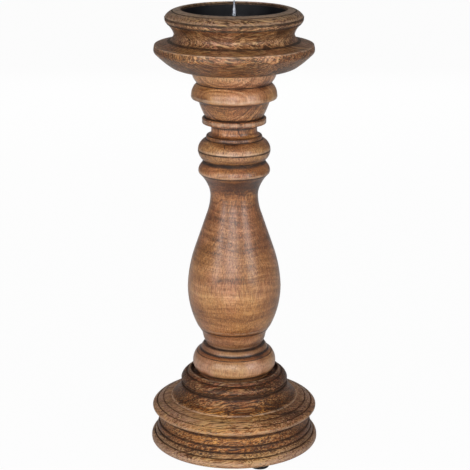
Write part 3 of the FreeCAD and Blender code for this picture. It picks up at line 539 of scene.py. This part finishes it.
def wood(name, look, lines, crests):
    """Stained and waxed wood, darker in its lines with stain and painted shade, and lighter on its crests
    with wear and a painted highlight.
    """
    tree = Tree(bpy.data.materials.new(name))
    point = tree.point()
    x, y, z = tree.split(point)
    section = tree.join(tree.vector("LENGTH", tree.join(x, y, 0.0)), z, 0.0)
    seeded, local = grain_places(tree, point, look)
    heights = {"Value": z, "From Min": look["low"], "From Max": look["high"]}
    depth = tree.node("MapRange", {}, heights).outputs[0]

    run = look["fibre_run"]
    pore_across = look["grain"]
    glint_across = look["grain"] * GLINT_ACROSS
    fibre = tree.noise(local, (FIBRE_ACROSS, FIBRE_ACROSS, run), *FIBRE_NOISE)
    pores = tree.noise(local, (pore_across, pore_across, run * PORE_RUN), SPECK_DETAIL)
    pores = tree.between(pores, *PORE_EDGES)
    glints = tree.noise(local, (glint_across, glint_across, run * GLINT_RUN), SPECK_DETAIL)
    glints = tree.between(glints, *GLINT_EDGES)
    curl = tree.noise(local, *CURL_NOISE)
    mottle = tree.noise(local, *MOTTLE_NOISE)
    figure = tree.total(
        ring_figure(tree, local, z, look),
        tree.centred(fibre, look["fibre"]),
        tree.centred(curl, look["curl"]),
        tree.centred(tree.noise(seeded, *PATCH_NOISE), look["patch"]),
        tree.centred(mottle, look["mottle"]),
    )
    swing = by_depth(tree, depth, look["swings"], SWING_TOP)
    level = lightness(tree, point, depth, curl, look)
    value = tree.math("MULTIPLY_ADD", figure, swing, level)

    # The hues by depth are partly painted sheen on faces turned up
    colour = tree.blend(1.0, tree.ramp(value, WOOD_STOPS), tree.ramp(depth, look["hues"]), "MULTIPLY")
    # Golden patches only in the middle across x; the sides get far_sheen_hue, a painted sheen
    half = look["golden_half"]
    middle_share = tree.between(tree.math("ABSOLUTE", x), half, half * CORE_SHARE)
    golden = tree.between(tree.noise(seeded, *GOLDEN_NOISE), *GOLDEN_EDGES)
    golden = tree.math("MULTIPLY", golden, middle_share)
    colour = tree.blend(1.0, colour, tree.blend(golden, REDDER, GOLDENER), "MULTIPLY")
    colour = tree.blend(tree.math("SUBTRACT", 1.0, middle_share), colour, look["far_sheen_hue"], "MULTIPLY")
    glint_share = tree.math("MULTIPLY", tree.math("MULTIPLY", glints, look["glint_share"]), level)
    colour = tree.blend(glint_share, colour, GLINT)
    pore_share = tree.math("MULTIPLY", tree.math("MULTIPLY", pores, look["pore_share"]), swing)
    colour = tree.blend(pore_share, colour, PORE)

    uneven = tree.between(tree.noise(seeded, *UNEVEN_NOISE), *UNEVEN_EDGES)
    # Crests lightened: wear from handling and a painted highlight
    rubbed_and_highlight = tree.math("MULTIPLY", uneven, RUBBED_AND_HIGHLIGHT_SHARE)
    rubbed_and_highlight = tree.math("MULTIPLY", gathered(tree, section, crests), rubbed_and_highlight)
    colour = tree.blend(rubbed_and_highlight, colour, RUBBED_AND_HIGHLIGHT)
    # Incised rings and creases darkened: stain gathered in them and painted shade; the cracks too
    stain_and_shade = tree.math("MULTIPLY_ADD", uneven, STAIN_AND_SHADE_UNEVEN, STAIN_AND_SHADE_EVEN)
    stain_and_shade = tree.math("MULTIPLY", gathered(tree, section, lines), stain_and_shade)
    stain_and_shade = tree.math("MAXIMUM", stain_and_shade, slits(tree, x, y, z, look["cracks"]))
    colour = tree.blend(stain_and_shade, colour, look["line"])

    roughness = tree.total(
        PLAIN_ROUGHNESS,
        tree.centred(mottle, MOTTLE_ROUGHNESS),
        tree.math("MULTIPLY", pores, PORE_ROUGHNESS),
        tree.math("MULTIPLY", stain_and_shade, STAIN_AND_SHADE_ROUGHNESS),
    )
    relief = tree.total(
        tree.centred(fibre, FIBRE_RELIEF),
        tree.centred(mottle, look["fleck"]),
        tree.centred(curl, CURL_RELIEF),
        tree.math("MULTIPLY", pores, PORE_RELIEF),
    )
    fixed = {
        "IOR": WOOD_IOR,
        "Coat Weight": look["coat"],
        "Coat Roughness": COAT_ROUGHNESS,
        "Specular IOR Level": look["gloss"],
        "Specular Tint": look["shine"],
    }
    return tree.finish(colour, roughness, tree.bump(relief, RELIEF_MM), fixed)


# Steel and rubber. cloud and marks are noise scales per millimetre. The cloud carries the colour from
# dark to light, the marks make the relief, and each adds its part to the roughness.
CLOUD_EDGES = (0.3, 0.7)
COATED_STEEL = {
    "cloud": (0.09, 0.09, 0.09),
    "cloud_detail": 3.0,
    "marks": (2.2, 2.2, 2.2),
    "dark": tone(14, 14, 18),
    "light": tone(26, 27, 32),
    "roughness": 0.5,
    "cloud_roughness": 0.14,
    "marks_roughness": 0.08,
    "relief_mm": 0.03,
    "fixed": {"IOR": 1.45},
}
TURNED_STEEL = {
    "cloud": (0.5, 0.5, 0.5),
    "cloud_detail": 2.0,
    "marks": (0.4, 0.4, 7.0),
    "dark": tone(112, 116, 124),
    "light": tone(156, 160, 168),
    "roughness": 0.3,
    "cloud_roughness": 0.0,
    "marks_roughness": 0.2,
    "relief_mm": 0.01,
    "fixed": {"Metallic": 1.0},
}
RUBBER = {
    "cloud": (3.0, 3.0, 3.0),
    "cloud_detail": 2.0,
    "marks": (3.0, 3.0, 3.0),
    "dark": tone(15, 15, 15),
    "light": tone(26, 26, 26),
    "roughness": 0.75,
    "cloud_roughness": 0.0,
    "marks_roughness": 0.15,
    "relief_mm": 0.04,
    "fixed": {},
}


def plain(name, look):
    """Steel or rubber."""
    tree = Tree(bpy.data.materials.new(name))
    point = tree.point()
    cloud = tree.noise(point, look["cloud"], look["cloud_detail"])
    marks = tree.noise(point, look["marks"])
    colour = tree.ramp(cloud, list(zip(CLOUD_EDGES, (look["dark"], look["light"]))))
    roughness = tree.total(
        look["roughness"],
        tree.centred(cloud, look["cloud_roughness"]),
        tree.centred(marks, look["marks_roughness"]),
    )
    return tree.finish(colour, roughness, tree.bump(marks, look["relief_mm"]), look["fixed"])


def dress_nodes():
    """Gives each node of the frame its material, by the record's material slots."""
    materials = {
        "stem_wood": wood("stem_wood", STEM, STEM_LINES, STEM_CRESTS),
        "cup_wood": wood("cup_wood", CUP, CUP_LINES, CUP_CRESTS),
        "base_wood": wood("base_wood", BASE, BASE_LINES, BASE_CRESTS),
        "pan_black": plain("pan_black", COATED_STEEL),
        "steel": plain("steel", TURNED_STEEL),
        "rubber": plain("rubber", RUBBER),
    }
    for entry in frame["record"]["subparts"]:
        node = frame["nodes"][entry["node"]]
        node.material_slots[0].material = materials[entry["material_slot"]]


def seen_share(tree):
    """1 for what the camera sees straight or through a clear thing, less for what is mirrored."""
    path = tree.nodes.new("ShaderNodeLightPath")
    mirrored = tree.math("MULTIPLY", path.outputs["Is Glossy Ray"], MIRRORED_WHITE)
    seen = tree.math("MAXIMUM", path.outputs["Is Camera Ray"], path.outputs["Is Transmission Ray"])
    return tree.math("MAXIMUM", seen, mirrored)


def make_floor():
    """White floor that keeps the object's shadow: part lit, part its own white to the camera."""
    tree = Tree(bpy.data.materials.new("floor"))
    lit = tree.node("BsdfDiffuse", {}, {"Color": FLOOR_ALBEDO})
    own = tree.node("Emission", {}, {"Color": WHITE, "Strength": 1.0})
    share = tree.math("MULTIPLY", seen_share(tree), FLOOR_OWN_WHITE_SHARE)
    tree.close("Material", tree.node("MixShader", {}, {0: share, 1: lit.outputs[0], 2: own.outputs[0]}))

    mesh = bpy.data.meshes.new("floor")
    half = FLOOR_HALF_SIZE
    corners = [(-half, -half, 0.0), (half, -half, 0.0), (half, half, 0.0), (-half, half, 0.0)]
    mesh.from_pydata(corners, [], [(0, 1, 2, 3)])
    mesh.materials.append(tree.owner)
    floor = bpy.data.objects.new("floor", mesh)
    bpy.context.scene.collection.objects.link(floor)


def make_room():
    """White surroundings to look at, which light the object more gently than they look."""
    world = bpy.data.worlds.new("room")
    bpy.context.scene.world = world
    tree = Tree(world)
    levels = {"Value": seen_share(tree), "To Min": ROOM_STRENGTH, "To Max": 1.0}
    strength = tree.node("MapRange", {}, levels).outputs[0]
    tree.close("World", tree.node("Background", {}, {"Color": WHITE, "Strength": strength}))


def make_lamps():
    aim = Vector((0.0, 0.0, LAMP_AIM_MM * MM))
    for name, (bearing_deg, above_deg, away, width, height, watts) in LAMPS.items():
        bearing = math.radians(bearing_deg)
        above = math.radians(above_deg)
        level = math.cos(above)
        way = Vector((math.sin(bearing) * level, -math.cos(bearing) * level, math.sin(above)))
        light = bpy.data.lights.new(name, "AREA")
        light.shape = "RECTANGLE"
        light.size = width
        light.size_y = height
        light.energy = watts
        holder = bpy.data.objects.new(name, light)
        holder.location = aim + way * away
        holder.rotation_mode = "QUATERNION"
        holder.rotation_quaternion = (-way).to_track_quat("-Z", "Y")
        holder.visible_glossy = name not in UNMIRRORED_LAMPS
        bpy.context.scene.collection.objects.link(holder)


def make_camera():
    camera = bpy.data.cameras.new("camera")
    camera.sensor_width = SENSOR_MM
    camera.lens = FOCAL_PX / FRAME_PX * SENSOR_MM
    holder = bpy.data.objects.new("camera", camera)
    holder.location = (CAMERA_ASIDE_MM * MM, -CAMERA_BACK_MM * MM, CAMERA_HEIGHT_MM * MM)
    holder.rotation_euler = (math.radians(90.0 - CAMERA_DOWN_DEG), 0.0, 0.0)
    bpy.context.scene.collection.objects.link(holder)
    bpy.context.scene.camera = holder


bpy.context.scene.view_settings.view_transform = "Standard"
make_camera()
make_room()
make_lamps()
make_floor()
dress_nodes()
